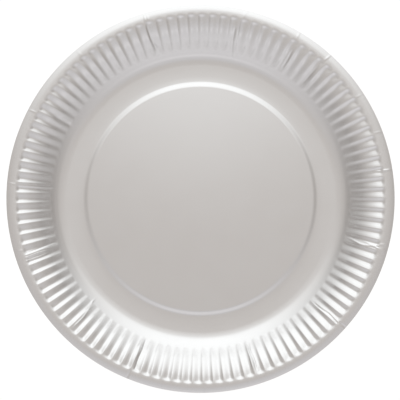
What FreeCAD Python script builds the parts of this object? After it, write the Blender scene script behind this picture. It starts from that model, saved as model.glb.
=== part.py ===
"""Pressed silver paper plate with a raised centre panel, a fluted wall and a turned-down lip.

One disc of coated board, pressed in one stroke, so it is one solid.
The plate lies on its foot ring, the flat band round the raised centre panel.
Origin: centre of the foot ring's underside. +Z points up, out of the plate's well.

From the foot ring outwards the board lifts very gently, bends up through the heel and a tighter
cove, runs straight up the wall, rolls over a shoulder and a flatter crown and turns down into the
lip. The rim's diameter is fixed, so the floor takes what the wall leaves. The flutes are grooves
pressed into the wall between the cove and the crown.
Each groove has a wide flank and a narrow flank, so that the ribs all lean one way round the plate.
Everything outside the foot ring is made of flat facets, one flute's pitch wide or less.
"""

import FreeCAD
import Part

import math
import os

# Whole plate
rim_diameter = 230.0
board_thickness = 0.45

# Floor: the centre panel stands a little above the foot ring
foot_ring_width = 2.8
panel_step_width = 3.7
panel_step_rise = 0.91

# Wall and rim, in the order in which the section runs outwards
# Each angle is the board's slope where that stretch ends and the next one begins
lift_radius = 140.0
lift_angle = 2.7
heel_radius = 22.6
heel_angle = 12.8
cove_radius = 10.6
wall_angle = 45.9
wall_length = 7.1
shoulder_radius = 21.4
shoulder_angle = 23.2
crown_radius = 24.5
lip_radius = 11.8
lip_angle = 19.8

# Flutes
flute_count = 108
first_rib_angle = 1.0
smooth_cove_angle = 45.6
flute_lead_in = 0.75
flute_depth_inner = 0.19
flute_depth_middle = 0.6
flute_depth_outer = 0.75
flute_run_out = 2.5
smooth_crown_length = 1.2
rib_top_width = 0.6
groove_floor_width = 0.86
wide_flank_share = 0.63

# Facets along the section
cove_rows = 2
crown_rows = 2
lip_rows = 1
step_shares = (0.0, 0.25, 0.75, 1.0)

UP = FreeCAD.Vector(0, 0, 1)
CENTRE = FreeCAD.Vector(0, 0, 0)
PITCH = 2 * math.pi / flute_count
FIRST_RIB = math.radians(first_rib_angle)


class Run:
    """One stretch of the section's upper line, straight or bent to a radius.

    A positive bend curves upwards, as in the cove, and a negative one curves downwards.
    """

    def __init__(self, r, z, slope, length, bend=None):
        self.r = r
        self.z = z
        self.slope = slope
        self.length = length
        self.bend = bend

    def at(self, distance):
        """Radius, height and slope at a distance along the run."""
        if self.bend is None:
            return (
                self.r + distance * math.cos(self.slope),
                self.z + distance * math.sin(self.slope),
                self.slope,
            )
        slope = self.slope + distance / self.bend
        return (
            self.r + self.bend * (math.sin(slope) - math.sin(self.slope)),
            self.z - self.bend * (math.cos(slope) - math.cos(self.slope)),
            slope,
        )


def wall_runs():
    """The lift, heel, cove, wall, shoulder, crown and lip, from the foot ring to the rim."""
    lift = math.radians(lift_angle)
    heel = math.radians(heel_angle)
    wall = math.radians(wall_angle)
    shoulder = math.radians(shoulder_angle)
    lip = math.radians(lip_angle)
    stretches = [
        (lift_radius * lift, lift_radius),
        (heel_radius * (heel - lift), heel_radius),
        (cove_radius * (wall - heel), cove_radius),
        (wall_length, None),
        (shoulder_radius * (wall - shoulder), -shoulder_radius),
        (crown_radius * shoulder, -crown_radius),
        (lip_radius * lip, -lip_radius),
    ]
    place = (0.0, board_thickness, 0.0)
    runs = []
    for length, bend in stretches:
        runs.append(Run(*place, length, bend))
        place = runs[-1].at(length)
    inset = rim_diameter / 2 - place[0]
    return [Run(run.r + inset, run.z, run.slope, run.length, run.bend) for run in runs]


RUNS = wall_runs()
foot_outer_radius = RUNS[0].r
foot_inner_radius = foot_outer_radius - foot_ring_width
panel_radius = foot_inner_radius - panel_step_width

# Distances along the section, counted from the foot ring's outer edge
lift_end = RUNS[0].length
heel_end = lift_end + RUNS[1].length
smooth_end = heel_end + cove_radius * math.radians(smooth_cove_angle - heel_angle)
lead_in_end = smooth_end + flute_lead_in
wall_end = sum(run.length for run in RUNS[:4])
crown_peak = sum(run.length for run in RUNS[:6])
flute_end = crown_peak - smooth_crown_length
run_out_start = flute_end - flute_run_out
section_end = sum(run.length for run in RUNS)


def section_at(distance):
    """Radius, height and slope of the upper line at a distance along the section."""
    for run in RUNS[:-1]:
        if distance <= run.length:
            return run.at(distance)
        distance -= run.length
    return RUNS[-1].at(distance)


def section_point(distance, depth, turn=0.0):
    """A point that lies a depth below the upper line, square to it, at an angle round the plate."""
    r, z, slope = section_at(distance)
    r += depth * math.sin(slope)
    z -= depth * math.cos(slope)
    return FreeCAD.Vector(r * math.cos(turn), r * math.sin(turn), z)


def evenly(start, end, rows):
    """The distances that split a stretch of the section into equal rows."""
    return [start + (end - start) * row / rows for row in range(rows + 1)]


def flat_facet(*corners):
    """A flat face through three or four corners."""
    return Part.Face(Part.makePolygon(list(corners) + [corners[0]]))


def folded_facets(inner_left, inner_right, outer_right, outer_left):
    """Two triangles over four corners that don't lie in one plane."""
    return [
        flat_facet(inner_left, inner_right, outer_right),
        flat_facet(inner_left, outer_right, outer_left),
    ]


def smooth_facets(distances, below):
    """Board with no flutes, one pitch wide, on the skin that lies below the upper line."""
    faces = []
    for inner, outer in zip(distances, distances[1:]):
        faces.append(
            flat_facet(
                section_point(inner, below),
                section_point(inner, below, PITCH),
                section_point(outer, below, PITCH),
                section_point(outer, below),
            )
        )
    return faces


def flute_turns():
    """Angles, from a rib's middle, of the four fold lines between it and the next rib's middle."""
    crown_r = section_at(crown_peak)[0]
    half_top = rib_top_width / 2 / crown_r
    floor = groove_floor_width / crown_r
    flanks = PITCH - 2 * half_top - floor
    groove_start = half_top + flanks * wide_flank_share
    return half_top, groove_start, groove_start + floor, PITCH - half_top


def groove_depth(distance):
    """Depth of the grooves at a distance between the lead-in and the run-out."""
    share = (distance - lead_in_end) / (run_out_start - lead_in_end)
    if share < 0.5:
        return flute_depth_inner + (flute_depth_middle - flute_depth_inner) * share * 2
    return flute_depth_middle + (flute_depth_outer - flute_depth_middle) * (share * 2 - 1)


def flute_fold_points(below):
    """Rows of points on a flute's fold lines, from the lead-in's top to the run-out's start."""
    half_top, groove_start, groove_end, next_left = flute_turns()
    rows = []
    for distance in [lead_in_end] + evenly(wall_end, run_out_start, crown_rows):
        depth = groove_depth(distance)
        rows.append(
            [
                section_point(distance, below, -half_top),
                section_point(distance, below, half_top),
                section_point(distance, below + depth, groove_start),
                section_point(distance, below + depth, groove_end),
                section_point(distance, below, next_left),
            ]
        )
    return rows


def flute_end_facets(distance, fold_points, below):
    """Facets between the smooth board at a distance and the nearest row of fold points."""
    rib_left, rib_right, groove_start, groove_end, next_left = fold_points
    here = section_point(distance, below)
    there = section_point(distance, below, PITCH)
    faces = [
        flat_facet(here, rib_left, rib_right),
        flat_facet(here, rib_right, groove_start),
        flat_facet(there, groove_end, next_left),
    ]
    return faces + folded_facets(here, there, groove_end, groove_start)


def flute_facets(below):
    """One flute, from its rib's middle to the next, on the skin that lies below the upper line."""
    rows = flute_fold_points(below)
    faces = flute_end_facets(smooth_end, rows[0], below)
    for inner, outer in zip(rows, rows[1:]):
        faces.append(flat_facet(inner[0], inner[1], outer[1], outer[0]))
        faces += folded_facets(inner[1], inner[2], outer[2], outer[1])
        faces.append(flat_facet(inner[2], inner[3], outer[3], outer[2]))
        faces += folded_facets(inner[3], inner[4], outer[4], outer[3])
    return faces + flute_end_facets(flute_end, rows[-1], below)


def pitch_facets():
    """Everything outside the foot ring within one flute's pitch, both skins and the cut edge."""
    cove = [0.0] + evenly(lift_end, smooth_end, cove_rows)
    lip = [flute_end] + evenly(crown_peak, section_end, lip_rows)
    faces = []
    for below in (0.0, board_thickness):
        faces += smooth_facets(cove, below)
        faces += flute_facets(below)
        faces += smooth_facets(lip, below)
    cut_edge = flat_facet(
        section_point(section_end, 0.0),
        section_point(section_end, 0.0, PITCH),
        section_point(section_end, board_thickness, PITCH),
        section_point(section_end, board_thickness),
    )
    return faces + [cut_edge]


def foot_ring_face(height):
    """The flat foot ring, whose outer edge has a corner where each two pitches meet."""
    corners = []
    for index in range(flute_count + 1):
        turn = FIRST_RIB + index * PITCH
        x = foot_outer_radius * math.cos(turn)
        y = foot_outer_radius * math.sin(turn)
        corners.append(FreeCAD.Vector(x, y, height))
    hole = Part.Wire([Part.makeCircle(foot_inner_radius, FreeCAD.Vector(0, 0, height))])
    hole.reverse()
    return Part.Face([Part.makePolygon(corners), hole])


def panel_faces(below):
    """The eased step up to the centre panel, and the panel, on one skin."""
    points = []
    for share in step_shares:
        rise = panel_step_rise * (1 - math.cos(math.pi * share)) / 2
        r = foot_inner_radius - share * panel_step_width
        points.append(FreeCAD.Vector(r, 0, board_thickness - below + rise))
    faces = []
    for outer, inner in zip(points, points[1:]):
        faces.append(Part.makeLine(outer, inner).revolve(CENTRE, UP, 360))
    rim = Part.makeCircle(panel_radius, FreeCAD.Vector(0, 0, points[-1].z))
    return faces + [Part.Face(Part.Wire([rim]))]


def plate():
    """The whole plate as one closed solid."""
    faces = []
    for below in (0.0, board_thickness):
        faces += panel_faces(below)
        faces.append(foot_ring_face(board_thickness - below))
    one_pitch = Part.makeCompound(pitch_facets())
    for index in range(flute_count):
        copy = one_pitch.copy()
        copy.rotate(CENTRE, UP, math.degrees(FIRST_RIB + index * PITCH))
        faces += copy.Faces
    skin = Part.makeCompound(faces)
    skin.sewShape()
    shell = skin.Shells[0]
    solid = Part.makeSolid(shell)
    if solid.Volume < 0:
        shell.reverse()
        solid = Part.makeSolid(shell)
    return solid


def main():
    os.makedirs("parts", exist_ok=True)
    solid = plate()
    solid.exportStep("parts/plate.step")
    box = solid.BoundBox
    print(
        "plate:",
        "valid" if solid.isValid() else "not valid",
        f"{len(solid.Faces)} faces, {solid.Volume / 1000:.2f} cm3,",
        f"{box.XLength:.2f} x {box.YLength:.2f} x {box.ZLength:.2f} mm from z {box.ZMin:.3f}",
    )


main()
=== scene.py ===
"""The looks of a pressed silver paper plate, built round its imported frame.

The plate is one disc of white board with a bright metallised film on its upper face.
It was pressed flat to dish in one stroke, which folded its rim into flutes that all lean one way
round, left a few crumpled flutes where two folds met, and creased the lip beside them.
"""

import logging
import math
from dataclasses import dataclass, field
from enum import Enum
from typing import Any

import bpy
import numpy as np
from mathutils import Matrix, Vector

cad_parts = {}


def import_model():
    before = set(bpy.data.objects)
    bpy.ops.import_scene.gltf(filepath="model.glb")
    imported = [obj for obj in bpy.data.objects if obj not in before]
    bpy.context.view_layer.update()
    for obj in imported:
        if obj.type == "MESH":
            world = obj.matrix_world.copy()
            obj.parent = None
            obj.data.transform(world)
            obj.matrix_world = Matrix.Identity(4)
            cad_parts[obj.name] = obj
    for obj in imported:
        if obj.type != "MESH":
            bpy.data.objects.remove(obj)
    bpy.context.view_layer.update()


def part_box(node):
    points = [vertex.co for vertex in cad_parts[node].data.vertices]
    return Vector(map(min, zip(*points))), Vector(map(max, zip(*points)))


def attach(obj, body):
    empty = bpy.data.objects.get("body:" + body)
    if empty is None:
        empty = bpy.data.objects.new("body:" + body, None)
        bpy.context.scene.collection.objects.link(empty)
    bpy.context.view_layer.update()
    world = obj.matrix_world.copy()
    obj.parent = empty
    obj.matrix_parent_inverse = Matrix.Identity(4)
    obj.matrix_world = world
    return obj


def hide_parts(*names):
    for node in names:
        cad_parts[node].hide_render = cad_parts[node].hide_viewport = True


LOG = logging.getLogger("paper_plate")
MM = 0.001
FRAME_NODE = "plate"
IMAGE_SIDE = 400
SENSOR_WIDTH = 36.0


def linear_rgba(code: str) -> tuple[float, float, float, float]:
    """Turns an sRGB hex code into the linear colour that Blender's sockets take.

    Args:
        code: Six hex digits, with or without a leading hash.

    Returns:
        Red, green, blue and an alpha of 1.
    """
    digits = code.lstrip("#")
    channels = [int(digits[start:start + 2], 16) / 255 for start in (0, 2, 4)]
    red, green, blue = (
        c / 12.92 if c <= 0.04045 else ((c + 0.055) / 1.055) ** 2.4 for c in channels
    )
    return red, green, blue, 1.0


def add_node(
    tree: bpy.types.NodeTree,
    kind: str,
    settings: dict[str, Any] | None = None,
    inputs: dict[str | int, Any] | None = None,
) -> bpy.types.Node:
    """Adds one node with its settings, and feeds its inputs with values or links.

    Args:
        tree: The node tree that gets the node.
        kind: The node's Blender type.
        settings: Values for the node's own properties.
        inputs: Values or output sockets, by the input's name or place.

    Returns:
        The new node.
    """
    node = tree.nodes.new(kind)
    for name, value in (settings or {}).items():
        setattr(node, name, value)
    for key, value in (inputs or {}).items():
        if isinstance(key, int):
            socket = node.inputs[key]
        else:
            socket = next(s for s in node.inputs if s.name == key and s.enabled)
        if isinstance(value, bpy.types.NodeSocket):
            tree.links.new(value, socket)
        else:
            socket.default_value = value
    return node


def add_object(name: str, data: bpy.types.ID) -> bpy.types.Object:
    """Puts a new object into the scene.

    Args:
        name: The object's name.
        data: Its mesh or camera.

    Returns:
        The new object.
    """
    made = bpy.data.objects.new(name, data)
    bpy.context.scene.collection.objects.link(made)
    return made


def empty_material(name: str) -> bpy.types.Material:
    """Makes a material whose node tree is still empty.

    Args:
        name: The material's name.

    Returns:
        The new material.
    """
    made = bpy.data.materials.new(name)
    made.use_nodes = True
    made.node_tree.nodes.clear()
    return made


def evenly(start: float, end: float, rows: int) -> list[float]:
    """Splits a stretch into equal rows and returns where each begins, without its end."""
    return [start + (end - start) * row / rows for row in range(rows)]


def eased(share: float) -> float:
    """Eases a share from 0 to 1 in and out, and holds it between them."""
    held = min(max(share, 0.0), 1.0)
    return held * held * (3 - 2 * held)


@dataclass(frozen=True)
class Run:
    """One stretch of the section's upper line: straight, or bent to a radius.

    Attributes:
        r: Radius at its inner end, in mm.
        z: Height at its inner end, in mm.
        slope: Slope at its inner end, in radians.
        length: Length along the line, in mm.
        bend: Bend radius in mm, positive where the line curls up; 0 is straight.
    """

    r: float
    z: float
    slope: float
    length: float
    bend: float = 0.0

    def at(self, distance: float) -> tuple[float, float, float]:
        """Finds a point of the run.

        Args:
            distance: Distance along the run, in mm.

        Returns:
            Its radius and height in mm, and the slope there in radians.
        """
        if not self.bend:
            r = self.r + distance * math.cos(self.slope)
            return r, self.z + distance * math.sin(self.slope), self.slope
        slope = self.slope + distance / self.bend
        r = self.r + self.bend * (math.sin(slope) - math.sin(self.slope))
        return r, self.z - self.bend * (math.cos(slope) - math.cos(self.slope)), slope


@dataclass(frozen=True)
class SectionRow:
    """One row of points round the plate, as it stands in the section.

    Attributes:
        r: Radius in mm.
        z: Height in mm.
        press: Outward and upward parts of the way in which the grooves are pressed.
        groove: Depth of the grooves there, in mm.
        film: 1 on the filmed face, 0 on bare board.
    """

    r: float
    z: float
    press: tuple[float, float]
    groove: float
    film: float


@dataclass
class PlateSection:
    """The plate's section from its centre to its rim, in mm and degrees.

    The rim's radius is the frame's, and the floor takes what the wall leaves, as in the pressed
    blank. Each bend is a radius and the slope at which it ends and the next stretch begins.

    Attributes:
        rim_radius: Radius of the cut edge.
        thickness: Thickness of the board.
        foot_ring_width: Width of the flat ring that the plate stands on.
        step_width: Width of the step between the foot ring and the centre panel.
        step_rise: How far the centre panel stands above the foot ring.
        step_ease: 0 makes the step a plain cone, 1 gives it level ends.
        lift_radius: Bend of the very gentle lift outside the foot ring.
        lift_angle: Slope at the lift's end.
        heel_radius: Bend of the heel.
        heel_angle: Slope at the heel's end.
        cove_radius: Bend of the cove, tighter than the heel's.
        wall_angle: Slope of the straight wall.
        wall_length: Length of the straight wall, along its slope.
        shoulder_radius: Bend of the shoulder, where the board turns back over.
        shoulder_angle: Slope at the shoulder's end.
        crown_radius: Bend of the crown, which ends at its level peak.
        lip_radius: Bend of the lip, which turns down from the peak.
        lip_angle: Slope at the cut edge.
        smooth_cove_angle: Slope in the cove at which the flutes begin.
        lead_in: Length over which the grooves come in.
        groove_depths: Depths of the grooves, evenly spaced from the lead-in to the run-out.
        run_out: Length over which the grooves fade out.
        smooth_crown: Length between the flutes' end and the crown's peak.
        runs: The section's stretches from the foot ring to the cut edge, worked out.
    """

    rim_radius: float
    thickness: float = 0.45
    foot_ring_width: float = 2.8
    step_width: float = 3.7
    step_rise: float = 0.91
    step_ease: float = 0.8
    lift_radius: float = 140.0
    lift_angle: float = 2.7
    heel_radius: float = 22.6
    heel_angle: float = 12.8
    cove_radius: float = 10.6
    wall_angle: float = 45.9
    wall_length: float = 7.1
    shoulder_radius: float = 21.4
    shoulder_angle: float = 23.2
    crown_radius: float = 24.5
    lip_radius: float = 11.8
    lip_angle: float = 19.8
    smooth_cove_angle: float = 45.6
    lead_in: float = 0.75
    groove_depths: tuple[float, ...] = (0.19, 0.54, 0.62, 0.75)
    run_out: float = 2.5
    smooth_crown: float = 1.2
    runs: list[Run] = field(init=False)

    def __post_init__(self) -> None:
        """Walks the runs outwards, so that the last one ends at the rim."""
        lift, heel, wall, shoulder, lip = (
            math.radians(angle)
            for angle in (
                self.lift_angle,
                self.heel_angle,
                self.wall_angle,
                self.shoulder_angle,
                self.lip_angle,
            )
        )
        stretches = [
            (self.lift_radius * lift, self.lift_radius),
            (self.heel_radius * (heel - lift), self.heel_radius),
            (self.cove_radius * (wall - heel), self.cove_radius),
            (self.wall_length, 0.0),
            (self.shoulder_radius * (wall - shoulder), -self.shoulder_radius),
            (self.crown_radius * shoulder, -self.crown_radius),
            (self.lip_radius * lip, -self.lip_radius),
        ]
        self.runs = []
        place = (0.0, self.thickness, 0.0)
        for length, bend in stretches:
            self.runs.append(Run(*place, length, bend))
            place = self.runs[-1].at(length)
        inset = self.rim_radius - place[0]
        self.runs = [Run(u.r + inset, u.z, u.slope, u.length, u.bend) for u in self.runs]

    @property
    def heel_end(self) -> float:
        """Distance from the foot ring at which the heel meets the cove."""
        return self.runs[0].length + self.runs[1].length

    @property
    def smooth_end(self) -> float:
        """Distance from the foot ring at which the flutes begin."""
        bend = math.radians(self.smooth_cove_angle - self.heel_angle)
        return self.heel_end + self.cove_radius * bend

    @property
    def flute_end(self) -> float:
        """Distance from the foot ring at which the flutes have run out."""
        return sum(run.length for run in self.runs[:-1]) - self.smooth_crown

    @property
    def rim(self) -> float:
        """Distance from the foot ring to the cut edge."""
        return sum(run.length for run in self.runs)

    def groove_depth(self, distance: float) -> float:
        """Finds the grooves' depth.

        Args:
            distance: Distance from the foot ring along the section, in mm.

        Returns:
            The depth there in mm, 0 where the board is smooth.
        """
        begin = self.smooth_end + self.lead_in
        end = self.flute_end - self.run_out
        share = min(max((distance - begin) / (end - begin), 0.0), 1.0)
        places = np.linspace(0.0, 1.0, len(self.groove_depths))
        depth = float(np.interp(share, places, self.groove_depths))
        depth *= eased((distance - self.smooth_end) / self.lead_in)
        return depth * eased((self.flute_end - distance) / self.run_out)

    def row(self, distance: float, below: float) -> SectionRow:
        """One row on the skin that lies below the upper line.

        Args:
            distance: Distance from the foot ring along the section, in mm.
            below: Depth under the upper line, square to it, in mm.

        Returns:
            The row's place, press and groove depth.
        """
        left = distance
        run = self.runs[0]
        for run in self.runs:
            if left <= run.length or run is self.runs[-1]:
                break
            left -= run.length
        r, z, slope = run.at(left)
        press = (math.sin(slope), -math.cos(slope))
        return SectionRow(
            r + below * press[0],
            z + below * press[1],
            press,
            self.groove_depth(distance),
            0.0 if below else 1.0,
        )

    def skin(self, below: float, counts: tuple[int, ...]) -> list[SectionRow]:
        """All rows of one skin, from the centre to the rim.

        Args:
            below: Depth under the upper line, 0 for the filmed face.
            counts: Rows in the step, lift, heel, cove, lead-in, flutes, run-out and lip.

        Returns:
            The rows in order, the first of them at the centre.
        """
        film = 0.0 if below else 1.0
        down = (0.0, -1.0)
        foot_inner = self.runs[0].r - self.foot_ring_width
        panel = foot_inner - self.step_width
        floor = self.thickness - below
        rows = [SectionRow(0.0, floor + self.step_rise, down, 0.0, film)]
        for share in evenly(0.0, 1.0, counts[0]):
            ease = self.step_ease * math.sin(math.tau * share) / math.tau
            rise = self.step_rise * (1 - share + ease)
            rows.append(SectionRow(panel + share * self.step_width, floor + rise, down, 0.0, film))
        rows.append(SectionRow(foot_inner, floor, down, 0.0, film))
        stops = (
            0.0,
            self.runs[0].length,
            self.heel_end,
            self.smooth_end,
            self.smooth_end + self.lead_in,
            self.flute_end - self.run_out,
            self.flute_end,
            self.rim,
        )
        for start, end, count in zip(stops, stops[1:], counts[1:]):
            rows.extend(self.row(distance, below) for distance in evenly(start, end, count))
        rows.append(self.row(self.rim, below))
        return rows


# A lap's shape is a bell times the distance across it. This brings its crest to full height.
LAP_GAIN = 2.33
# Share of the rim's radius over which a mark fades out at each of its ends.
MARK_FADE = 0.012


class MarkKind(Enum):
    """How spare board stands after the press has closed on it."""

    RIDGE = "a narrow crest that stands up"
    FURROW = "a narrow groove that is pressed in"
    LAP = "a fold that lies over to one side"


@dataclass(frozen=True)
class PressMark:
    """A scar on the wall or the lip where spare board gathered in the press.

    Attributes:
        kind: How the board stands there.
        angle: Where it lies, in degrees round from +X.
        path: Its line, as shares of the rim's radius and degrees off its angle.
        height: How far it stands up or is pressed in, in mm.
        half_width: Half its width, in mm.
    """

    kind: MarkKind
    angle: float
    path: tuple[tuple[float, float], ...]
    height: float
    half_width: float

    def lift(self, share: np.ndarray, angle: np.ndarray, radius: np.ndarray) -> np.ndarray:
        """How far the mark lifts points of the board.

        Args:
            share: Each point's radius, as a share of the rim's.
            angle: Each point's angle round from +X, in degrees.
            radius: Each point's radius in mm.

        Returns:
            The lift of each point, in mm.
        """
        shares, turns = zip(*self.path)
        middle = self.angle + np.interp(share, shares, turns)
        across = np.radians((angle - middle + 180) % 360 - 180) * radius
        spot = across / self.half_width
        shape = np.exp(-(spot**2))
        if self.kind is MarkKind.FURROW:
            shape = -shape
        elif self.kind is MarkKind.LAP:
            shape = LAP_GAIN * spot * shape
        inside = np.clip((share - shares[0]) / MARK_FADE, 0.0, 1.0)
        outside = np.clip((shares[-1] - share) / MARK_FADE, 0.0, 1.0)
        return self.height * shape * inside * outside


def ridge(
    angle: float, path: tuple[tuple[float, float], ...], height: float = 0.2, half_width: float = 0.4
) -> PressMark:
    """A ridge mark with the usual size of a crease."""
    return PressMark(MarkKind.RIDGE, angle, path, height, half_width)


def furrow(
    angle: float, path: tuple[tuple[float, float], ...], height: float = 0.3, half_width: float = 0.5
) -> PressMark:
    """A furrow mark, as deep as the creases of a crumpled flute."""
    return PressMark(MarkKind.FURROW, angle, path, height, half_width)


# Where the board gathered: first the wall's crumpled flutes, then the lip's creases.
WALL_MARKS = (
    ridge(8.7, ((0.875, -0.4), (0.905, 0.4), (0.95, -0.1)), 0.25, 0.5),
    ridge(9.9, ((0.87, 0.0), (0.91, -0.3), (0.945, 0.2)), 0.2, 0.4),
    ridge(46.0, ((0.79, 0.1), (0.885, 0.1)), 0.2, 0.35),
    ridge(47.0, ((0.79, 0.0), (0.885, 0.2)), 0.2, 0.35),
    furrow(48.4, ((0.8, 0.0), (0.915, 0.1)), 0.25, 0.6),
    furrow(58.0, ((0.8, -0.1), (0.86, 0.0), (0.9, 0.3)), 0.35, 0.7),
    furrow(78.3, ((0.755, -0.8), (0.8, -0.2), (0.84, 0.2)), 0.25, 0.4),
    furrow(78.5, ((0.83, -0.1), (0.9, 0.1)), 0.45, 0.7),
    ridge(76.9, ((0.76, -0.4), (0.82, 0.4)), 0.08, 0.4),
    furrow(76.8, ((0.875, -0.1), (0.935, 0.2)), 0.35, 0.45),
    furrow(107.0, ((0.8, -0.8), (0.825, -0.4), (0.865, 0.2), (0.935, 0.4)), 0.55, 0.75),
    furrow(150.8, ((0.775, -0.1), (0.82, 0.0), (0.865, 0.1)), 0.5, 1.2),
    ridge(175.7, ((0.765, -0.1), (0.8, 0.1), (0.945, 0.1)), 0.25, 0.35),
    ridge(199.6, ((0.83, -0.1), (0.88, 0.2), (0.955, 0.1)), 0.3, 0.45),
    ridge(198.5, ((0.83, 0.3), (0.88, -0.1), (0.955, 0.2)), 0.3, 0.45),
    PressMark(MarkKind.LAP, 197.1, ((0.795, -0.3), (0.86, 0.2), (0.945, 0.6)), 0.2, 0.5),
    ridge(224.2, ((0.765, -0.9), (0.79, -0.4), (0.835, 0.9)), 0.2, 0.5),
    ridge(225.3, ((0.8, -0.7), (0.86, 0.1), (0.94, 0.0)), 0.25, 0.4),
    furrow(248.8, ((0.79, -0.1), (0.83, 0.2), (0.88, -0.1), (0.945, 0.1)), 0.45, 0.65),
    ridge(247.6, ((0.81, -0.1), (0.86, 0.2), (0.92, -0.1)), 0.25, 0.4),
    ridge(246.9, ((0.81, 0.2), (0.86, -0.1), (0.91, 0.1)), 0.2, 0.35),
    furrow(288.1, ((0.79, 0.3), (0.83, -0.2), (0.87, 0.3), (0.93, 0.0)), 0.42, 0.5),
    ridge(287.2, ((0.8, -0.1), (0.85, 0.3), (0.92, 0.0)), 0.32, 0.45),
    furrow(317.7, ((0.8, -0.3), (0.845, -0.1), (0.89, 0.4), (0.955, 0.0)), 0.35, 0.45),
    ridge(344.7, ((0.795, 0.6), (0.865, -0.7), (0.955, 0.7)), 0.3, 0.4),
    ridge(344.9, ((0.875, 0.6), (0.955, -0.6)), 0.25, 0.35),
)
LIP_MARKS = (
    ridge(8.8, ((0.94, 0.0), (0.99, -0.1)), 0.2, 0.5),
    ridge(20.6, ((0.955, 0.3), (0.995, -0.4)), 0.1, 0.4),
    ridge(33.0, ((0.95, 0.1), (0.985, 0.0)), 0.07, 0.5),
    ridge(48.0, ((0.95, 0.3), (1.0, -0.3)), 0.12, 0.45),
    ridge(59.1, ((0.96, -0.3), (1.0, 0.3)), 0.1, 0.4),
    ridge(76.4, ((0.95, 0.6), (0.995, -0.5)), 0.07, 0.4),
    ridge(107.2, ((0.945, 0.2), (0.985, -0.2)), 0.22, 0.4),
    ridge(106.2, ((0.945, 0.0), (0.985, 0.2)), 0.15, 0.4),
    ridge(129.7, ((0.95, 0.0), (0.985, 0.2)), 0.06, 0.6),
    ridge(152.4, ((0.95, -0.2), (0.995, 0.2)), 0.1, 0.4),
    ridge(175.4, ((0.955, 0.1), (0.995, -0.1)), 0.12, 0.45),
    ridge(196.0, ((0.95, 0.3), (0.985, -0.2)), 0.13, 0.5),
    furrow(223.8, ((0.95, -0.2), (0.98, 0.2)), 0.1, 0.5),
    furrow(247.7, ((0.945, 0.1), (1.0, 0.0)), 0.35, 0.6),
    furrow(271.3, ((0.95, 0.0), (0.995, 0.1)), 0.1, 0.7),
    ridge(286.0, ((0.95, 0.1), (0.98, 0.0)), 0.06, 0.5),
    furrow(318.3, ((0.955, 0.0), (1.0, 0.1)), 0.3, 0.5),
    ridge(346.0, ((0.945, -0.4), (0.995, 0.2)), 0.14, 0.5),
    ridge(344.2, ((0.945, 0.0), (0.99, 0.0)), 0.15, 1.6),
)


@dataclass(frozen=True)
class SilverFilm:
    """Metallised polyester film on board, rolled on while hot.

    A thin bright skin with a satin sheen: it mirrors soft shapes without an edge, and the board's
    fibres show through it as a faint orange peel.

    Attributes:
        name: The material's name.
        colour: The metal's sRGB hex colour.
        roughness: How rough a mirror it is, from 0 to 1.
        roughness_spread: How much that differs from place to place.
        peel_mm: Size of the orange peel.
        peel_depth_mm: Depth of the orange peel.
        peel_detail: How many finer layers the orange peel has.
        sag_mm: Size of the broad unevenness.
        sag_depth_mm: Depth of the broad unevenness.
        sag_detail: How many finer layers the broad unevenness has.
        sag_range: The lowest and highest values that the broad unevenness mostly has.
    """

    name: str = "metallised_film_laminated"
    colour: str = "#F1F1F1"
    roughness: float = 0.245
    roughness_spread: float = 0.03
    peel_mm: float = 1.6
    peel_depth_mm: float = 0.002
    peel_detail: float = 3.0
    sag_mm: float = 16.0
    sag_depth_mm: float = 0.03
    sag_detail: float = 1.0
    sag_range: tuple[float, float] = (0.3, 0.7)

    def material(self) -> bpy.types.Material:
        """Builds the film's material.

        Returns:
            A rough metal mirror with a fine and a broad unevenness.
        """
        made = empty_material(self.name)
        tree = made.node_tree
        place = add_node(tree, "ShaderNodeTexCoord").outputs["Object"]
        peel = add_node(
            tree,
            "ShaderNodeTexNoise",
            inputs={
                "Vector": place,
                "Scale": 1 / (self.peel_mm * MM),
                "Detail": self.peel_detail,
            },
        )
        sag = add_node(
            tree,
            "ShaderNodeTexNoise",
            inputs={
                "Vector": place,
                "Scale": 1 / (self.sag_mm * MM),
                "Detail": self.sag_detail,
            },
        )
        sheen = add_node(
            tree,
            "ShaderNodeMapRange",
            inputs={
                "Value": sag.outputs["Fac"],
                "From Min": self.sag_range[0],
                "From Max": self.sag_range[1],
                "To Min": self.roughness - self.roughness_spread / 2,
                "To Max": self.roughness + self.roughness_spread / 2,
            },
        )
        broad = add_node(
            tree,
            "ShaderNodeBump",
            inputs={"Distance": self.sag_depth_mm * MM, "Height": sag.outputs["Fac"]},
        )
        fine = add_node(
            tree,
            "ShaderNodeBump",
            inputs={
                "Distance": self.peel_depth_mm * MM,
                "Height": peel.outputs["Fac"],
                "Normal": broad.outputs["Normal"],
            },
        )
        shader = add_node(
            tree,
            "ShaderNodeBsdfPrincipled",
            inputs={
                "Base Color": linear_rgba(self.colour),
                "Metallic": 1.0,
                "Roughness": sheen.outputs["Result"],
                "Normal": fine.outputs["Normal"],
            },
        )
        add_node(tree, "ShaderNodeOutputMaterial", inputs={"Surface": shader.outputs["BSDF"]})
        return made


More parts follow.
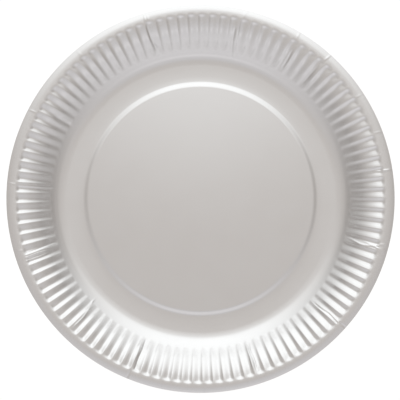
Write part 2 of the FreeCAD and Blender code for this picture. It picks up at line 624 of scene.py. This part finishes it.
@dataclass(frozen=True)
class WhiteBoard:
    """Uncoated white cartonboard, calendered: a matt, slightly warm face with a fine fibre.

    Attributes:
        name: The material's name.
        colour: The board's sRGB hex colour.
        fibre_colour: The sRGB hex colour of its darker fibres.
        roughness: How matt it is, from 0 to 1.
        fibre_mm: Size of the tufts of fibre. Single fibres are finer and wouldn't show.
        fibre_depth_mm: Depth of the relief that they make.
        fibre_detail: How many finer layers the fibre has.
    """

    name: str = "white_cartonboard"
    colour: str = "#EFECE6"
    fibre_colour: str = "#E2DED6"
    roughness: float = 0.72
    fibre_mm: float = 1.1
    fibre_depth_mm: float = 0.02
    fibre_detail: float = 4.0

    def material(self) -> bpy.types.Material:
        """Builds the board's material.

        Returns:
            A matt white with a fine relief of fibre.
        """
        made = empty_material(self.name)
        tree = made.node_tree
        place = add_node(tree, "ShaderNodeTexCoord").outputs["Object"]
        fibre = add_node(
            tree,
            "ShaderNodeTexNoise",
            inputs={
                "Vector": place,
                "Scale": 1 / (self.fibre_mm * MM),
                "Detail": self.fibre_detail,
            },
        )
        tint = add_node(
            tree,
            "ShaderNodeMix",
            {"data_type": "RGBA"},
            {
                "Factor": fibre.outputs["Fac"],
                "A": linear_rgba(self.colour),
                "B": linear_rgba(self.fibre_colour),
            },
        )
        relief = add_node(
            tree,
            "ShaderNodeBump",
            inputs={"Distance": self.fibre_depth_mm * MM, "Height": fibre.outputs["Fac"]},
        )
        shader = add_node(
            tree,
            "ShaderNodeBsdfPrincipled",
            inputs={
                "Base Color": tint.outputs["Result"],
                "Roughness": self.roughness,
                "Normal": relief.outputs["Normal"],
            },
        )
        add_node(tree, "ShaderNodeOutputMaterial", inputs={"Surface": shader.outputs["BSDF"]})
        return made


# What each point of the section carries besides its place.
POINT_VALUES = {"press": "FLOAT_VECTOR", "groove": "FLOAT", "film": "FLOAT"}
# The sizes, seed and finishes that the flutes' tree takes.
FLUTE_INPUTS = {
    "Section": "NodeSocketObject",
    "Rows": "NodeSocketInt",
    "Flutes": "NodeSocketInt",
    "Columns per Flute": "NodeSocketInt",
    "First Rib": "NodeSocketFloat",
    "Drift": "NodeSocketFloat",
    "Drift Start": "NodeSocketFloat",
    "Second Drift": "NodeSocketFloat",
    "Depth Spread": "NodeSocketFloat",
    "Seed": "NodeSocketInt",
    "Film": "NodeSocketMaterial",
    "Board": "NodeSocketMaterial",
}
# How the tree finds a point's row, angle and place across its flute: each sum's name, what it does,
# and its terms, which are numbers, the tree's inputs or sums before it. Half a point is added where
# the result is rounded down, so that it can't come out one short.
PLACE_SUMS = (
    ("columns", "MULTIPLY", "Flutes", "Columns per Flute"),
    ("grid columns", "ADD", "columns", 1.0),
    ("point middle", "ADD", "index", 0.5),
    ("columns passed", "DIVIDE", "point middle", "Rows"),
    ("column", "FLOOR", "columns passed"),
    ("points before", "MULTIPLY", "column", "Rows"),
    ("row", "SUBTRACT", "index", "points before"),
    ("share of a turn", "DIVIDE", "column", "columns"),
    ("turn", "MULTIPLY", "share of a turn", math.tau),
    ("even angle", "ADD", "turn", "First Rib"),
    ("drift angle", "ADD", "even angle", "Drift Start"),
    ("once round", "COSINE", "drift angle"),
    ("double angle", "MULTIPLY", "even angle", 2.0),
    ("twice round", "SINE", "double angle"),
    ("wide drift", "MULTIPLY", "once round", "Drift"),
    ("narrow drift", "MULTIPLY", "twice round", "Second Drift"),
    ("drift", "ADD", "wide drift", "narrow drift"),
    ("angle", "SUBTRACT", "even angle", "drift"),
    ("column middle", "ADD", "column", 0.5),
    ("flutes passed", "DIVIDE", "column middle", "Columns per Flute"),
    ("flute", "FLOOR", "flutes passed"),
    ("pitches passed", "DIVIDE", "column", "Columns per Flute"),
    ("place across", "SUBTRACT", "pitches passed", "flute"),
    ("shallowest", "SUBTRACT", 1.0, "Depth Spread"),
    ("deepest", "ADD", 1.0, "Depth Spread"),
)


@dataclass
class FluteTree:
    """The nodes that turn the section round the plate and press the flutes into it.

    They lay out a grid of points, one column for each place round the plate and one row for each
    point of the section. Each grid point then goes to its row's place in the section, pressed in
    as deep as the groove is there, and turned to its column's angle.

    Attributes:
        wave: Points of the groove's curve, as shares of the pitch and of the groove's depth.
        seam_mm: Points nearer than this become one where the turned section meets itself.
        filmed_from: Mean film of a face's corners from which the face shows film.
        tree: The tree that holds the nodes.
        values: What the tree has worked out so far, by name. Its inputs come first.
    """

    wave: tuple[tuple[float, float], ...]
    seam_mm: float
    filmed_from: float
    tree: bpy.types.GeometryNodeTree = field(init=False)
    values: dict[str, bpy.types.NodeSocket] = field(init=False)

    def __post_init__(self) -> None:
        """Makes the tree with its named inputs and its output."""
        self.tree = bpy.data.node_groups.new("pressed_flutes", "GeometryNodeTree")
        for name, kind in FLUTE_INPUTS.items():
            self.tree.interface.new_socket(name, in_out="INPUT", socket_type=kind)
        self.tree.interface.new_socket("Plate", in_out="OUTPUT", socket_type="NodeSocketGeometry")
        given = add_node(self.tree, "NodeGroupInput").outputs
        self.values = {name: given[name] for name in FLUTE_INPUTS}

    def find_places(self) -> None:
        """Works out each grid point's row, angle and place across its flute."""
        self.values["index"] = add_node(self.tree, "GeometryNodeInputIndex").outputs[0]
        for name, operation, *terms in PLACE_SUMS:
            inputs = {
                spot: self.values[term] if isinstance(term, str) else term
                for spot, term in enumerate(terms)
            }
            node = add_node(self.tree, "ShaderNodeMath", {"operation": operation}, inputs)
            self.values[name] = node.outputs[0]

    def read_section(self) -> None:
        """Reads what the section holds at each grid point's row."""
        section = add_node(
            self.tree, "GeometryNodeObjectInfo", inputs={"Object": self.values["Section"]}
        )
        for name, kind in {"position": "FLOAT_VECTOR", **POINT_VALUES}.items():
            held = add_node(
                self.tree, "GeometryNodeInputNamedAttribute", {"data_type": kind}, {"Name": name}
            )
            at_row = add_node(
                self.tree,
                "GeometryNodeSampleIndex",
                {"data_type": kind},
                {
                    "Geometry": section.outputs["Geometry"],
                    "Value": held.outputs["Attribute"],
                    "Index": self.values["row"],
                },
            )
            self.values[name] = at_row.outputs[0]

    def press_in(self) -> None:
        """Presses each point in, as deep as its groove is at its place across the flute."""
        wave = add_node(
            self.tree, "ShaderNodeFloatCurve", inputs={"Value": self.values["place across"]}
        )
        curve = wave.mapping.curves[0]
        while len(curve.points) < len(self.wave):
            curve.points.new(0.5, 0.5)
        for point, spot in zip(curve.points, self.wave):
            point.location = spot
            point.handle_type = "AUTO_CLAMPED"
        wave.mapping.update()
        uneven = add_node(
            self.tree,
            "FunctionNodeRandomValue",
            {"data_type": "FLOAT"},
            {
                "Min": self.values["shallowest"],
                "Max": self.values["deepest"],
                "ID": self.values["flute"],
                "Seed": self.values["Seed"],
            },
        )
        drawn = next(output for output in uneven.outputs if output.enabled)
        depth = wave.outputs[0]
        for factor in (self.values["groove"], drawn):
            depth = add_node(
                self.tree, "ShaderNodeMath", {"operation": "MULTIPLY"}, {0: depth, 1: factor}
            ).outputs[0]
        push = add_node(
            self.tree,
            "ShaderNodeVectorMath",
            {"operation": "SCALE"},
            {0: self.values["press"], "Scale": depth},
        )
        pressed = add_node(
            self.tree,
            "ShaderNodeVectorMath",
            {"operation": "ADD"},
            {0: self.values["position"], 1: push.outputs["Vector"]},
        )
        self.values["position"] = pressed.outputs["Vector"]

    def turn_round(self) -> bpy.types.NodeSocket:
        """Lays out the grid and moves each of its points to its place on the plate.

        Returns:
            The grid, whose points also carry their press and film.
        """
        grid = add_node(
            self.tree,
            "GeometryNodeMeshGrid",
            inputs={
                "Size X": 1.0,
                "Size Y": 1.0,
                "Vertices X": self.values["grid columns"],
                "Vertices Y": self.values["Rows"],
            },
        )
        for name in ("position", "press"):
            turned = add_node(
                self.tree,
                "ShaderNodeVectorRotate",
                {"rotation_type": "Z_AXIS"},
                {"Vector": self.values[name], "Angle": self.values["angle"]},
            )
            self.values[name] = turned.outputs[0]
        points = add_node(
            self.tree,
            "GeometryNodeSetPosition",
            inputs={"Geometry": grid.outputs["Mesh"], "Position": self.values["position"]},
        ).outputs[0]
        for name in ("press", "film"):
            points = add_node(
                self.tree,
                "GeometryNodeStoreNamedAttribute",
                {"data_type": POINT_VALUES[name], "domain": "POINT"},
                {"Geometry": points, "Name": name, "Value": self.values[name]},
            ).outputs[0]
        return points

    def dress(self, points: bpy.types.NodeSocket) -> None:
        """Closes the seam, gives the faces their materials and ends the tree.

        Args:
            points: The grid, with each of its points in its place.
        """
        closed = add_node(
            self.tree,
            "GeometryNodeMergeByDistance",
            inputs={"Geometry": points, "Distance": self.seam_mm * MM},
        )
        film = add_node(
            self.tree, "GeometryNodeInputNamedAttribute", {"data_type": "FLOAT"}, {"Name": "film"}
        )
        bare = add_node(
            self.tree,
            "ShaderNodeMath",
            {"operation": "LESS_THAN"},
            {0: film.outputs["Attribute"], 1: self.filmed_from},
        )
        real = add_node(
            self.tree, "GeometryNodeRealizeInstances", inputs={"Geometry": closed.outputs[0]}
        )
        filmed = add_node(
            self.tree,
            "GeometryNodeSetMaterial",
            inputs={"Geometry": real.outputs[0], "Material": self.values["Film"]},
        )
        backed = add_node(
            self.tree,
            "GeometryNodeSetMaterial",
            inputs={
                "Geometry": filmed.outputs[0],
                "Selection": bare.outputs[0],
                "Material": self.values["Board"],
            },
        )
        add_node(self.tree, "NodeGroupOutput", inputs={"Plate": backed.outputs[0]})

    def build(self) -> bpy.types.GeometryNodeTree:
        """Adds the nodes in order.

        Returns:
            The finished tree.
        """
        self.find_places()
        self.read_section()
        self.press_in()
        self.dress(self.turn_round())
        return self.tree


@dataclass
class PressedPlate:
    """The whole plate, one pressed disc of filmed board.

    Attributes:
        section: The section that is turned round the plate.
        flutes: How many flutes there are.
        columns: Points across one flute.
        first_rib_angle: Where the first rib's crest lies, in degrees round from +X.
        drift: How far the flutes wander round the plate, in degrees: how far once round, where
            that begins, and how far twice round.
        depth_spread: How much the grooves differ in depth, as a share either way.
        seed: Picks the random draw of those depths.
        film_rows: Rows of points on the filmed face, stretch by stretch as in the section's skin.
        board_rows: The same on the underside.
        film: The finish of the face.
        board: The finish of the underside and the cut edge.
        marks: The scars of the press.
        sharp_angle: Degrees between two faces above which their edge is sharp, as the cut edge's.
        folds: Shares of the pitch at which the rib's crest ends, the groove's floor begins and
            ends, and the next rib's crest begins.
        rounding: How far the crests have sunk and the floors have risen there, as a share of the
            depth.
        seam_mm: Points nearer than this become one where the turned section meets itself.
        filmed_from: Mean film of a face's corners from which the face shows film.
    """

    section: PlateSection
    flutes: int = 108
    columns: int = 16
    first_rib_angle: float = 0.85
    drift: tuple[float, float, float] = (0.5, 10.0, 0.12)
    depth_spread: float = 0.06
    seed: int = 23
    film_rows: tuple[int, ...] = (6, 1, 4, 4, 3, 12, 5, 4)
    board_rows: tuple[int, ...] = (1, 1, 1, 3, 1, 4, 1, 1)
    film: SilverFilm = SilverFilm()
    board: WhiteBoard = WhiteBoard()
    marks: tuple[PressMark, ...] = WALL_MARKS + LIP_MARKS
    sharp_angle: float = 60.0
    folds: tuple[float, float, float, float] = (0.16, 0.47, 0.75, 0.93)
    rounding: float = 0.19
    seam_mm: float = 0.004
    filmed_from: float = 0.75

    @property
    def flute_wave(self) -> tuple[tuple[float, float], ...]:
        """Lays out the groove from one rib's crest to the next.

        Returns:
            Points of its curve, as shares of the pitch and of the groove's depth.
        """
        crest_end, floor_start, floor_end, crest_start = self.folds
        return (
            (0.0, 0.0),
            (crest_end, self.rounding),
            (floor_start, 1 - self.rounding),
            ((floor_start + floor_end) / 2, 1.0),
            (floor_end, 1 - self.rounding),
            (crest_start, self.rounding),
            (1.0, 0.0),
        )

    def section_rows(self) -> list[SectionRow]:
        """Lists the rows from the underside's centre to the rim and back over the filmed face.

        Returns:
            The rows in that order.
        """
        under = self.section.skin(self.section.thickness, self.board_rows)
        over = self.section.skin(0.0, self.film_rows)
        return under + over[::-1]

    def section_object(self) -> bpy.types.Object:
        """Makes the section an object that the flutes' tree can read.

        Returns:
            The rows as points that carry their press, groove depth and film.
        """
        rows = self.section_rows()
        mesh = bpy.data.meshes.new("plate_section")
        mesh.from_pydata([(row.r * MM, 0.0, row.z * MM) for row in rows], [], [])
        for name, kind in POINT_VALUES.items():
            mesh.attributes.new(name, kind, "POINT")
        for index, row in enumerate(rows):
            mesh.attributes["press"].data[index].vector = (row.press[0], 0.0, row.press[1])
            mesh.attributes["groove"].data[index].value = row.groove * MM
            mesh.attributes["film"].data[index].value = row.film
        return add_object("plate_section", mesh)

    def pressed_mesh(self) -> bpy.types.Mesh:
        """Runs the flutes' tree once.

        Returns:
            Its result as a plain mesh, with the press and film of each point.
        """
        section = self.section_object()
        tree = FluteTree(self.flute_wave, self.seam_mm, self.filmed_from).build()
        blank = add_object("blank", bpy.data.meshes.new("blank"))
        modifier = blank.modifiers.new("press", "NODES")
        modifier.node_group = tree
        values = {
            "Section": section,
            "Rows": len(section.data.vertices),
            "Flutes": self.flutes,
            "Columns per Flute": self.columns,
            "First Rib": math.radians(self.first_rib_angle),
            "Drift": math.radians(self.drift[0]),
            "Drift Start": math.radians(self.drift[1]),
            "Second Drift": math.radians(self.drift[2]),
            "Depth Spread": self.depth_spread,
            "Seed": self.seed,
            "Film": self.film.material(),
            "Board": self.board.material(),
        }
        for item in tree.interface.items_tree:
            if item.item_type == "SOCKET" and item.in_out == "INPUT":
                modifier[item.identifier] = values[item.name]
        graph = bpy.context.evaluated_depsgraph_get()
        mesh = bpy.data.meshes.new_from_object(
            blank.evaluated_get(graph), preserve_all_data_layers=True, depsgraph=graph
        )
        for spent in (blank, section):
            old = spent.data
            bpy.data.objects.remove(spent)
            bpy.data.meshes.remove(old)
        return mesh

    def press_marks(self, mesh: bpy.types.Mesh) -> None:
        """Presses the crumpled flutes and the lip's creases into both skins.

        Args:
            mesh: The pressed plate, which loses its working attributes here.
        """
        spots = np.zeros(len(mesh.vertices) * 3)
        mesh.vertices.foreach_get("co", spots)
        spots = spots.reshape(-1, 3)
        press = np.zeros(len(mesh.vertices) * 3)
        mesh.attributes["press"].data.foreach_get("vector", press)
        press = press.reshape(-1, 3)
        radius = np.hypot(spots[:, 0], spots[:, 1]) / MM
        share = radius / self.section.rim_radius
        angle = np.degrees(np.arctan2(spots[:, 1], spots[:, 0]))
        lift = np.zeros(len(spots))
        for mark in self.marks:
            lift += mark.lift(share, angle, radius)
        spots -= press * lift[:, None] * MM
        mesh.vertices.foreach_set("co", spots.ravel())
        for name in ("press", "film"):
            mesh.attributes.remove(mesh.attributes[name])
        mesh.update()

    def build(self) -> bpy.types.Object:
        """Builds the plate, marks it as the press did, and sets it in the frame.

        Returns:
            The finished piece.
        """
        mesh = self.pressed_mesh()
        self.press_marks(mesh)
        mesh.name = "pressed_plate"
        piece = add_object("pressed_plate", mesh)
        mesh.shade_smooth()
        mesh.set_sharp_from_angle(angle=math.radians(self.sharp_angle))
        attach(piece, "root")
        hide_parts(FRAME_NODE)
        faces = sum(len(face.vertices) - 2 for face in mesh.polygons)
        LOG.info("%s: %d triangles", piece.name, faces)
        return piece


@dataclass(frozen=True)
class TentWindow:
    """A part of the light tent with a glow of its own, on one side of the plate.

    Attributes:
        azimuth: The middle of the side that it lights, in degrees round from +X.
        full: Degrees to each side of the middle that have its full glow.
        none: Degrees to each side of the middle at which it has faded out.
        edge: How it comes in from above, and goes out again where it does, as degrees from
            straight above and shares of its glow.
        glow: How bright it would look straight above, where 1 is the camera's white.
        low_glow: How bright it looks at the floor's level.
        colour: Its sRGB hex colour.
    """

    azimuth: float
    full: float
    none: float
    edge: tuple[tuple[float, float], ...]
    glow: float
    low_glow: float
    colour: str

    def share(self, azimuth: float, fall: float) -> float:
        """How much of a spot's glow comes from this window, from 0 to 1.

        Args:
            azimuth: The spot's direction round the plate, in degrees.
            fall: The spot's angle from straight above, in degrees.

        Returns:
            The share.
        """
        falls, shares = zip(*self.edge)
        off = abs((azimuth - self.azimuth + 180) % 360 - 180)
        beside = 1 - eased((off - self.full) / (self.none - self.full))
        return beside * float(np.interp(fall, falls, shares))

    def light(self, fall: float) -> Vector:
        """The window's linear colour times its glow, at an angle from straight above."""
        glow = self.glow + fall / 90 * (self.low_glow - self.glow)
        return Vector(linear_rgba(self.colour)[:3]) * glow


# The edges of the windows and of the bands along the tent's seam.
NORTH_EDGE = ((2.1, 0.0), (2.3, 0.39), (14.7, 0.44), (20.7, 1.0))
SOUTH_EDGE = ((16.4, 0.0), (20.4, 1.0))
SEAM_EDGES = ((36.0, 0.0), (41.0, 1.0), (48.0, 1.0), (54.0, 0.0))


@dataclass
class LightTent:
    """A white fabric tent lit from outside, the plain soft light that shiny ware is shot in.

    Its cloth glows evenly all round, a little more overhead, and more where two windows light it.
    Along the seam of its roof, a band is brighter in the lower window, and one on the right dimmer.

    Attributes:
        radius: How far away the cloth hangs, in metres.
        colour: Its sRGB hex colour.
        side_glow: How bright it looks from straight above to halfway down, where 1 is white.
        low_glow: How bright it looks at the floor's level.
        overhead_glow: How much brighter it looks straight above.
        overhead_spread: Degrees from straight above over which that fades.
        dimming_from: Degrees from straight above at which the dimming to the floor begins.
        windows: The parts with a glow of their own, each laid over those before it.
        close_rings: Where the close rings of points begin and end, in degrees from straight
            above, and how many there are. The windows' edges lie among them.
        wide_rings: The same for the wider rings below them.
        spokes: Points round each ring.
    """

    radius: float = 8.0
    colour: str = "#FFF8F3"
    side_glow: float = 0.437
    low_glow: float = 0.303
    overhead_glow: float = 0.136
    overhead_spread: float = 54.0
    dimming_from: float = 45.0
    windows: tuple[TentWindow, ...] = (
        TentWindow(90.0, 12.5, 84.0, NORTH_EDGE, 1.16, 1.16, "#FEFFFF"),
        TentWindow(270.0, 15.0, 94.0, SOUTH_EDGE, 0.55, 0.73, "#FFFCFD"),
        TentWindow(270.0, 5.0, 50.0, SEAM_EDGES, 0.78, 0.78, "#FFFCFD"),
        TentWindow(0.0, 5.0, 45.0, SEAM_EDGES, 0.45, 0.45, "#FFF8F3"),
    )
    close_rings: tuple[float, float, int] = (0.5, 30.5, 60)
    wide_rings: tuple[float, float, int] = (32.0, 92.0, 20)
    spokes: int = 72

    def light(self, azimuth: float, fall: float) -> Vector:
        """The tent's linear colour times its glow in one direction.

        Args:
            azimuth: The direction round the plate, in degrees from +X.
            fall: The angle from straight above, in degrees.

        Returns:
            Red, green and blue radiance.
        """
        dimmed = max(fall - self.dimming_from, 0) / (90 - self.dimming_from)
        glow = self.side_glow + (self.low_glow - self.side_glow) * dimmed
        glow += self.overhead_glow * math.exp(-((fall / self.overhead_spread) ** 2))
        light = Vector(linear_rgba(self.colour)[:3]) * glow
        for window in self.windows:
            light = light.lerp(window.light(fall), window.share(azimuth, fall))
        return light

    def build(self) -> bpy.types.Object:
        """Adds the tent, unseen by the camera itself.

        Returns:
            The tent's object.
        """
        falls = evenly(*self.close_rings) + evenly(*self.wide_rings)
        azimuths = evenly(0.0, 360.0, self.spokes)
        corners = [Vector((0.0, 0.0, self.radius))]
        lights = [self.light(0.0, 0.0)]
        for fall in falls:
            across = self.radius * math.sin(math.radians(fall))
            height = self.radius * math.cos(math.radians(fall))
            for azimuth in azimuths:
                turn = math.radians(azimuth)
                corners.append(Vector((across * math.cos(turn), across * math.sin(turn), height)))
                lights.append(self.light(azimuth, fall))
        count = self.spokes
        faces: list[tuple[int, ...]] = [
            (0, 1 + (step + 1) % count, 1 + step) for step in range(count)
        ]
        for ring in range(len(falls) - 1):
            first = 1 + ring * count
            for step in range(count):
                beside = (step + 1) % count
                faces.append(
                    (first + step, first + beside, first + count + beside, first + count + step)
                )
        mesh = bpy.data.meshes.new("light_tent")
        mesh.from_pydata(corners, [], faces)
        glow = mesh.attributes.new("glow", "FLOAT_COLOR", "POINT")
        for index, light in enumerate(lights):
            glow.data[index].color = (*light, 1.0)
        mesh.materials.append(self.material())
        tent = add_object("light_tent", mesh)
        tent.visible_camera = False
        return tent

    def material(self) -> bpy.types.Material:
        """Builds the glowing cloth's material.

        Returns:
            A plain glow of the colour that each point of the tent carries.
        """
        made = empty_material("lit_tent_fabric")
        tree = made.node_tree
        glow = add_node(tree, "ShaderNodeAttribute", {"attribute_name": "glow"}).outputs["Color"]
        shader = add_node(tree, "ShaderNodeEmission", inputs={"Color": glow, "Strength": 1.0})
        lit = shader.outputs["Emission"]
        add_node(tree, "ShaderNodeOutputMaterial", inputs={"Surface": lit})
        # The cloth is all round the plate, so the rays meet it without being aimed at it.
        made.cycles.emission_sampling = "NONE"
        return made


@dataclass
class Studio:
    """Pale floor, a light tent and the camera straight above.

    Attributes:
        rim_radius: Radius of the plate's cut edge, in mm.
        rim_height: Height of the plate above the floor, in mm.
        plate_centre_px: The plate's centre in the photograph, in pixels from its top left corner.
        plate_radius_px: The plate's radius in the photograph, in pixels.
        camera_distance: Height of the camera above the floor, in mm.
        view_reach: How far the camera sees, in metres.
        floor_side: Side of the square floor, in metres.
        floor_colour: The floor's sRGB hex colour.
        floor_roughness: How matt the floor is, from 0 to 1.
        floor_glow: How brightly the floor glows from the lamps below it.
        floor_light: The sRGB hex colour of that glow.
        backdrop_colour: The sRGB hex colour of everything beyond the floor and the tent.
        tent: The light tent.
    """

    rim_radius: float
    rim_height: float
    plate_centre_px: tuple[float, float] = (200.5, 198.8)
    plate_radius_px: float = 194.3
    camera_distance: float = 900.0
    view_reach: float = 50.0
    floor_side: float = 17.0
    floor_colour: str = "#8F8F8F"
    floor_roughness: float = 0.9
    floor_glow: float = 0.83
    floor_light: str = "#FFFFFF"
    backdrop_colour: str = "#F2F2F2"
    tent: LightTent = field(default_factory=LightTent)

    def build(self) -> None:
        """Adds the floor, the tent, the backdrop and the camera."""
        self.add_floor()
        self.tent.build()
        self.add_backdrop()
        self.add_camera()
        bpy.context.scene.view_settings.view_transform = "Standard"
        LOG.info("studio: floor, tent and camera")

    def add_floor(self) -> None:
        """Adds the pale floor that the plate stands on, lit from below."""
        half = self.floor_side / 2
        mesh = bpy.data.meshes.new("floor")
        corners = [(-half, -half, 0.0), (half, -half, 0.0), (half, half, 0.0), (-half, half, 0.0)]
        mesh.from_pydata(corners, [], [(0, 1, 2, 3)])
        floor = add_object("floor", mesh)
        made = empty_material("opal_acrylic_table")
        tree = made.node_tree
        shader = add_node(
            tree,
            "ShaderNodeBsdfPrincipled",
            inputs={
                "Base Color": linear_rgba(self.floor_colour),
                "Roughness": self.floor_roughness,
                "Emission Color": linear_rgba(self.floor_light),
                "Emission Strength": self.floor_glow,
            },
        )
        add_node(tree, "ShaderNodeOutputMaterial", inputs={"Surface": shader.outputs["BSDF"]})
        mesh.materials.append(made)

    def add_backdrop(self) -> None:
        """Gives the far background one plain pale grey."""
        world = bpy.data.worlds.new("backdrop")
        world.use_nodes = True
        tree = world.node_tree
        tree.nodes.clear()
        plain = add_node(
            tree,
            "ShaderNodeBackground",
            inputs={"Color": linear_rgba(self.backdrop_colour), "Strength": 1.0},
        )
        add_node(tree, "ShaderNodeOutputWorld", inputs={"Surface": plain.outputs["Background"]})
        bpy.context.scene.world = world

    def add_camera(self) -> None:
        """Looks straight down, so that the rim's circle falls where the photograph has it."""
        data = bpy.data.cameras.new("overhead_camera")
        data.sensor_width = SENSOR_WIDTH
        mm_per_px = self.rim_radius / self.plate_radius_px
        to_rim = self.camera_distance - self.rim_height
        data.lens = SENSOR_WIDTH * to_rim / (IMAGE_SIDE * mm_per_px)
        data.clip_end = self.view_reach
        camera = add_object("overhead_camera", data)
        right = self.plate_centre_px[0] - IMAGE_SIDE / 2
        down = self.plate_centre_px[1] - IMAGE_SIDE / 2
        camera.location = (
            -right * mm_per_px * MM,
            down * mm_per_px * MM,
            self.camera_distance * MM,
        )
        bpy.context.scene.camera = camera


def main() -> None:
    logging.basicConfig(level=logging.INFO, format="%(name)s: %(message)s")
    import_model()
    low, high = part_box(FRAME_NODE)
    rim_radius = (high.x - low.x) / 2 / MM
    PressedPlate(PlateSection(rim_radius)).build()
    Studio(rim_radius, high.z / MM).build()


if __name__ == "__main__":
    main()
